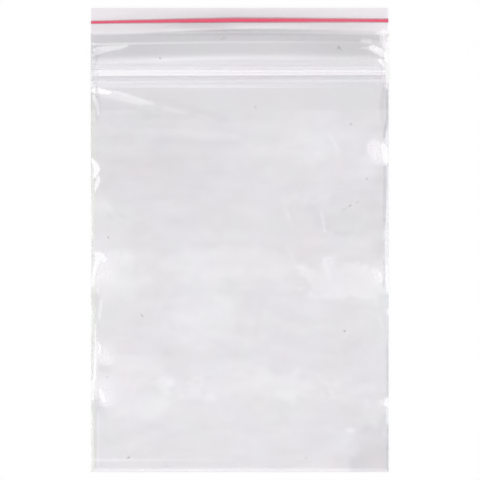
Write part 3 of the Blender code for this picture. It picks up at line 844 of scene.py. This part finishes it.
def make_bead(name, side, edge_in, nicks, material):
    """The molten bead along one cut edge, uneven as a hot bar leaves it."""
    y = np.arange(Y_BOTTOM + BEAD_RADIUS, front_lip_edge(side * BAG_WIDTH / 2), BEAD_STEP)
    radius = BEAD_RADIUS * (1 + BEAD_UNEVEN * soft_noise(y, y * 0, BEAD_UNEVEN_LENGTH, 5.0 + side))
    x = side * (BAG_WIDTH / 2 - BEAD_IN - edge_shift(y, edge_in, nicks))
    z = SEAL_HEIGHT + BEAD_WANDER * soft_noise(y, y * 0, BEAD_WANDER_LENGTH, 9.0 + side)
    angles = np.arange(BEAD_SIDES) * 2 * math.pi / BEAD_SIDES
    rings = [
        np.stack([px + r * np.cos(angles), np.full(BEAD_SIDES, py), pz + r * np.sin(angles)], axis=-1)
        for px, py, pz, r in zip(x, y, z, radius)
    ]
    mesh = new_mesh(name, np.concatenate(rings).tolist(), shell_faces(len(rings), BEAD_SIDES))
    add_piece(name, mesh, material, "bag_film")


LUMP_ROWS, LUMP_COLUMNS = 22, 12
LUMP_SQUARE = 0.6  # below 1 makes the section squarer
LUMP_BLUNT, LUMP_STRETCH = 0.35, 0.8  # below 1 makes the two ends blunter
LUMP_UNEVEN, LUMP_GRAIN_OUT, LUMP_GRAIN_ALONG = 0.1, 1.3, 4.0
LUMP_HALF = 0.9 * CRUSH_OUT
LUMP_FILL = 0.7  # share of the closure's height that it fills at the strips
LUMP_EDGE_IN = 0.2 * MM


def signed_power(value, power):
    """The value's size raised to the power, with the value's sign."""
    return math.copysign(abs(value) ** power, value)


def make_lump(name, side, material):
    """The flattened end of the closure inside one side seal, as an uneven pad."""
    middle_x = side * (rib_high.x + BAG_WIDTH / 2 - LUMP_EDGE_IN) / 2
    points = []
    for row in range(LUMP_ROWS):
        along = math.pi * (row + 0.5) / LUMP_ROWS
        reach = math.sin(along) ** LUMP_BLUNT
        place_y = -signed_power(math.cos(along), LUMP_STRETCH)
        for column in range(LUMP_COLUMNS):
            turn = 2 * math.pi * column / LUMP_COLUMNS
            out, up = (signed_power(value, LUMP_SQUARE) for value in (math.cos(turn), math.sin(turn)))
            grain_x, grain_y = out * reach * LUMP_GRAIN_OUT, place_y * LUMP_GRAIN_ALONG
            uneven = 1 + LUMP_UNEVEN * noise.noise(Vector((grain_x, grain_y, 7.0 + side + up)))
            x = middle_x + out * reach * LUMP_HALF * uneven
            inward = np.clip((BAG_WIDTH / 2 - abs(x)) / (BAG_WIDTH / 2 - rib_high.x), 0.0, 1.0)
            thick = mix(CRUSH_THICK, rib_high.z * LUMP_FILL, inward)
            z = mix(SEAL_HEIGHT, rib_high.z / 2, inward) + up * reach * thick / 2 * uneven
            points.append((x, Y_ZIP + place_y * CRUSH_REACH, z))
    mesh = new_mesh(name, points, shell_faces(LUMP_ROWS, LUMP_COLUMNS, turned=True))
    add_piece(name, mesh, material, "bag_film")


# name: start and end in pixels, half width in pixels
DUST = {
    "speck_low_right": ((344.2, 330.6), (344.9, 331.4), 0.55),
    "lint_low_left": ((127.2, 458.2), (130.0, 456.9), 0.42),
    "speck_low_middle": ((305.8, 457.6), (306.4, 458.2), 0.4),
    "speck_left": ((106.6, 376.8), (107.2, 377.6), 0.4),
    "speck_zip": ((159.4, 58.2), (160.8, 58.6), 0.5),
    "speck_high": ((255.2, 107.2), (255.8, 107.8), 0.45),
    "speck_high_right": ((350.6, 123.6), (351.4, 124.8), 0.45),
    "speck_right": ((366.6, 178.6), (367.4, 179.2), 0.4),
    "scratch_a": ((341.5, 210.4), (346.0, 208.0), 0.16),
    "scratch_b": ((348.0, 206.8), (351.5, 204.8), 0.26),
    "scratch_c": ((356.5, 202.6), (358.5, 201.2), 0.22),
    "mark_zip_right": ((337.6, 46.2), (341.6, 50.4), 0.32),
    "mark_zip_right_cross": ((336.6, 50.2), (340.8, 46.0), 0.22),
    "mark_zip_left": ((219.8, 41.0), (225.8, 36.4), 0.2),
    "mark_middle_left": ((108.2, 236.4), (108.6, 238.0), 0.35),
    "mark_lower_left": ((141.0, 314.0), (143.6, 317.2), 0.32),
}


DUST_SIDES = 10
DUST_RINGS = ((0.0, 0.9), (0.03 * MM, 1.0), (0.06 * MM, 0.6))  # height and share of the full size
DUST_UNEVEN = 0.35


def make_dust(material):
    """Specks and short fibres of dust that lie on the front panel."""
    vertices, faces = [], []
    for index, (start, end, half) in enumerate(DUST.values()):
        (ax, ay), (bx, by) = at(*start), at(*end)
        length = math.hypot(bx - ax, by - ay)
        along = ((bx - ax) / length, (by - ay) / length)
        half_long, half_wide = length / 2 + half * PX, half * PX
        middle = ((ax + bx) / 2, (ay + by) / 2)
        place = (np.array([middle[0]]), np.array([middle[1]]))
        rise, _, _ = crease_fields(*place)
        z = float(front_middle(*place)[0] + rise[0]) + FILM / 2 + WAVE_RISE
        first = len(vertices)
        for height, share in DUST_RINGS:
            for side in range(DUST_SIDES):
                turn = 2 * math.pi * side / DUST_SIDES
                uneven = share * (1 + DUST_UNEVEN * noise.noise(Vector((side * 1.7, index * 3.1, 0.5))))
                p, q = math.cos(turn) * half_long * uneven, math.sin(turn) * half_wide * uneven
                x = middle[0] + p * along[0] - q * along[1]
                y = middle[1] + p * along[1] + q * along[0]
                vertices.append((x, y, z + height))
        faces += shell_faces(len(DUST_RINGS), DUST_SIDES, first)
    add_piece("dust_specks", new_mesh("dust_specks", vertices, faces), material, "bag_film")


# Materials

# The white that paints the film's highlights
FILM_HIGHLIGHT_WHITE = (0.98, 0.97, 0.985, 1.0)
FILM_LEAST, FILM_BLOTCH = 0.996, 0.008  # least share of light passed, and how much blotches add
STRIP_CLEAR, STRIP_HAZE = (0.995, 0.995, 0.998, 1.0), (0.98, 0.965, 0.985, 1.0)
BEAD_CLEAR, BEAD_HAZE = (0.985, 0.99, 0.985, 1.0), (0.95, 0.96, 0.95, 1.0)
RED_CLEAR, RED = (1.0, 0.9, 0.93, 1.0), (0.86, 0.075, 0.165, 1.0)
NO_COLOR, DUST_GREY = (1.0, 1.0, 1.0, 1.0), (0.35, 0.35, 0.36, 1.0)
JAW_CLOUD, FLANGE_CLOUD = 0.45, 0.035
JAW_EDGE = 0.2 * MM


class Nodes:
    """A short way to write a material's nodes."""

    def __init__(self, name):
        self.material = bpy.data.materials.new(name)
        self.material.use_nodes = True
        self.tree = self.material.node_tree
        self.tree.nodes.clear()
        self.output = self.add("ShaderNodeOutputMaterial")

    def add(self, kind, inputs=None, **settings):
        """A node with these settings, its inputs joined to sockets or set to values."""
        node = self.tree.nodes.new(kind)
        for name, value in settings.items():
            setattr(node, name, value)
        for name, value in (inputs or {}).items():
            socket = node.inputs[name]
            if isinstance(value, bpy.types.NodeSocket):
                self.tree.links.new(value, socket)
            else:
                socket.default_value = value
        return node

    def clear(self, color):
        """A surface that light passes straight through, coloured by this."""
        return self.add("ShaderNodeBsdfTransparent", {"Color": color}).outputs[0]

    def matt(self, color):
        return self.add("ShaderNodeBsdfDiffuse", {"Color": color}).outputs[0]

    def maths(self, operation, first, second=0.0, third=0.0):
        inputs = {0: first, 1: second, 2: third}
        return self.add("ShaderNodeMath", inputs, operation=operation).outputs[0]

    def spread(self, value, low, high, new_low, new_high):
        """The value carried from one range to another and held inside it."""
        inputs = {"Value": value, "From Min": low, "From Max": high, "To Min": new_low, "To Max": new_high}
        return self.add("ShaderNodeMapRange", inputs, interpolation_type="SMOOTHSTEP").outputs[0]

    def times(self, first, second):
        """Two colours or places multiplied."""
        return self.add("ShaderNodeVectorMath", {0: first, 1: second}, operation="MULTIPLY").outputs[0]

    def grain(self, place, scale, detail=3.0, output=0):
        """Noise from 0 to 1."""
        inputs = {"Vector": place, "Scale": scale, "Detail": detail}
        return self.add("ShaderNodeTexNoise", inputs).outputs[output]

    def stretched(self, x, y, z):
        """The object's own coordinates, scaled along each axis."""
        return self.times(self.add("ShaderNodeTexCoord").outputs["Object"], (x, y, z))

    def bump(self, height, strength, distance):
        inputs = {"Height": height, "Strength": strength, "Distance": distance}
        return self.add("ShaderNodeBump", inputs).outputs[0]

    def blend(self, share, first, second):
        """A shader between first, at share 0, and second, at share 1."""
        return self.add("ShaderNodeMixShader", {0: share, 1: first, 2: second}).outputs[0]

    def clouded(self, share, clear, color):
        """A clear surface clouded by this share, which still passes nearly all the light of the lamps."""
        lamp = self.add("ShaderNodeLightPath").outputs["Is Shadow Ray"]
        held = self.maths("MULTIPLY", share, self.spread(lamp, 0.0, 1.0, 1.0, LAMP_HELD))
        return self.blend(held, clear, self.matt(color))

    def gloss(self, body, roughness, straight, normal):
        """The body under a clear surface that reflects the straight share head on and more at a slant."""
        facing = self.add("ShaderNodeLayerWeight", {"Blend": 0.5}).outputs["Facing"]
        steep = self.maths("POWER", facing, 5.0)
        share = self.maths("MULTIPLY_ADD", steep, 1.0 - straight, straight)
        shine = self.add("ShaderNodeBsdfGlossy", {"Roughness": roughness, "Normal": normal}).outputs[0]
        return self.blend(share, body, shine)

    def finish(self, shader):
        self.tree.links.new(shader, self.output.inputs["Surface"])
        return self.material


def clear_film():
    """Clear film: it passes light by its tone, which carries painted light and shade, gleams, and is
    painted white as painted highlight where its attribute asks.
    """
    nodes = Nodes("clear_film")
    tone = nodes.add("ShaderNodeAttribute", attribute_name="tone").outputs["Color"]
    painted_highlight = nodes.add("ShaderNodeAttribute", attribute_name="painted_highlight").outputs["Fac"]
    blotch = nodes.grain(nodes.stretched(1.0, 1.0, 1.0), 90.0, 2.0, "Color")
    inputs = {0: blotch, 1: (FILM_BLOTCH,) * 3, 2: (FILM_LEAST,) * 3}
    faint = nodes.add("ShaderNodeVectorMath", inputs, operation="MULTIPLY_ADD").outputs[0]
    ripple = nodes.grain(nodes.stretched(1.0, 0.35, 1.0), 300.0)
    normal = nodes.bump(ripple, 0.05, 0.01 * MM)
    body = nodes.clouded(painted_highlight, nodes.clear(nodes.times(tone, faint)), FILM_HIGHLIGHT_WHITE)
    return nodes.finish(nodes.gloss(body, 0.1, SURFACE_GLOSS, normal))


def milky_plastic():
    """The closure's strips: cloudy in the thick jaws and nearly clear in the flanges."""
    nodes = Nodes("milky_plastic")
    place = nodes.add("ShaderNodeTexCoord").outputs["Object"]
    y = nodes.add("ShaderNodeSeparateXYZ", {0: place}).outputs["Y"]
    from_middle = nodes.maths("ABSOLUTE", nodes.maths("SUBTRACT", y, Y_ZIP))
    edge = CHANNEL_WIDTH / 2
    thick = nodes.spread(from_middle, edge - JAW_EDGE, edge, JAW_CLOUD, FLANGE_CLOUD)
    streak = nodes.grain(nodes.stretched(0.02, 1.0, 1.0), 5000.0)
    cloudiness = nodes.maths("MULTIPLY", thick, nodes.spread(streak, 0.3, 0.7, 0.9, 1.1))
    normal = nodes.bump(streak, 0.3, 0.01 * MM)
    body = nodes.clouded(cloudiness, nodes.clear(STRIP_CLEAR), STRIP_HAZE)
    return nodes.finish(nodes.gloss(body, 0.2, 0.02, normal))


def red_plastic():
    """The line: pinkish red, thinner and so paler at its edges."""
    nodes = Nodes("red_plastic")
    cover = nodes.add("ShaderNodeAttribute", attribute_name="cover").outputs["Fac"]
    streak = nodes.grain(nodes.stretched(0.05, 1.0, 1.0), 1500.0)
    dense = nodes.maths("MULTIPLY", cover, nodes.spread(streak, 0.3, 0.7, 0.94, 1.0))
    normal = nodes.bump(streak, 0.3, 0.01 * MM)
    body = nodes.blend(dense, nodes.clear(RED_CLEAR), nodes.matt(RED))
    return nodes.finish(nodes.gloss(body, 0.25, 0.03, normal))


def bead_plastic():
    """Molten film: clear, slightly cloudy and uneven."""
    nodes = Nodes("bead_plastic")
    lumps = nodes.grain(nodes.stretched(1.0, 1.0, 1.0), 1400.0)
    cloudiness = nodes.spread(lumps, 0.35, 0.7, 0.05, 0.35)
    normal = nodes.bump(lumps, 0.4, 0.02 * MM)
    body = nodes.clouded(cloudiness, nodes.clear(BEAD_CLEAR), BEAD_HAZE)
    return nodes.finish(nodes.gloss(body, 0.15, 0.04, normal))


def dust():
    """Grey specks, thin in places."""
    nodes = Nodes("dust")
    fleck = nodes.grain(nodes.stretched(1.0, 1.0, 1.0), 4000.0)
    thin = nodes.spread(fleck, 0.3, 0.7, 0.25, 0.6)
    return nodes.finish(nodes.blend(thin, nodes.clear(NO_COLOR), nodes.matt(DUST_GREY)))


# Floor, light and camera


def make_floor():
    bpy.ops.mesh.primitive_plane_add(size=FLOOR_SIDE, location=(0.0, 0.0, -FLOOR_DROP))
    floor = bpy.context.object
    floor.name = "floor"
    nodes = Nodes("pale_floor")
    path = nodes.add("ShaderNodeLightPath").outputs
    seen = nodes.maths("MAXIMUM", path["Is Camera Ray"], path["Is Glossy Ray"])
    seen = nodes.maths("MAXIMUM", seen, path["Is Transmission Ray"])
    matt = nodes.matt((FLOOR_MATT, FLOOR_MATT, FLOOR_MATT, 1.0))
    own_light = nodes.maths("MULTIPLY", seen, FLOOR_OWN)
    lit = nodes.add("ShaderNodeEmission", {"Strength": own_light}).outputs[0]
    both = nodes.add("ShaderNodeAddShader", {0: matt, 1: lit}).outputs[0]
    floor.data.materials.append(nodes.finish(both))


def make_world():
    world = bpy.data.worlds.new("studio")
    bpy.context.scene.world = world
    world.use_nodes = True
    tree = world.node_tree
    tree.nodes.clear()
    path = tree.nodes.new("ShaderNodeLightPath")
    level = tree.nodes.new("ShaderNodeMapRange")
    tree.links.new(path.outputs["Is Camera Ray"], level.inputs["Value"])
    level.inputs["To Min"].default_value = WORLD_LIGHT
    level.inputs["To Max"].default_value = 1.0
    background = tree.nodes.new("ShaderNodeBackground")
    tree.links.new(level.outputs[0], background.inputs["Strength"])
    output = tree.nodes.new("ShaderNodeOutputWorld")
    tree.links.new(background.outputs[0], output.inputs["Surface"])


def make_light():
    """One wide soft light straight above the bag."""
    data = bpy.data.lights.new("overhead", "AREA")
    data.shape = "SQUARE"
    data.size = OVERHEAD_SIDE
    data.energy = OVERHEAD * math.pi * OVERHEAD_SIDE * OVERHEAD_SIDE
    light = add_object("overhead", data)
    light.location = (0.0, 0.0, OVERHEAD_HEIGHT)
    light.visible_camera = False


def make_camera():
    data = bpy.data.cameras.new("camera")
    data.lens = data.sensor_width * CAMERA_HEIGHT / (VIEW_SIDE * PX)
    data.clip_start, data.clip_end = 0.01, 20.0
    camera = add_object("camera", data)
    camera.location = (0.0, 0.0, CAMERA_HEIGHT)
    bpy.context.scene.camera = camera


def dress(node, material):
    """Gives a solid that stays in view this material."""
    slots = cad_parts[node].data.materials
    slots.clear()
    slots.append(material)


bpy.context.scene.view_settings.view_transform = "Standard"
bpy.context.scene.cycles.transparent_max_bounces = 32
make_camera()
make_world()
make_light()
make_floor()
make_film(clear_film())
make_line(red_plastic())
zipper = milky_plastic()
dress("zipper_channel", zipper)
dress("zipper_rib", zipper)
make_lump("crushed_end_left", -1, zipper)
make_lump("crushed_end_right", 1, zipper)
bead = bead_plastic()
make_bead("seal_bead_left", -1, LEFT_EDGE_IN, LEFT_NICKS, bead)
make_bead("seal_bead_right", 1, RIGHT_EDGE_IN, RIGHT_NICKS, bead)
make_dust(dust())
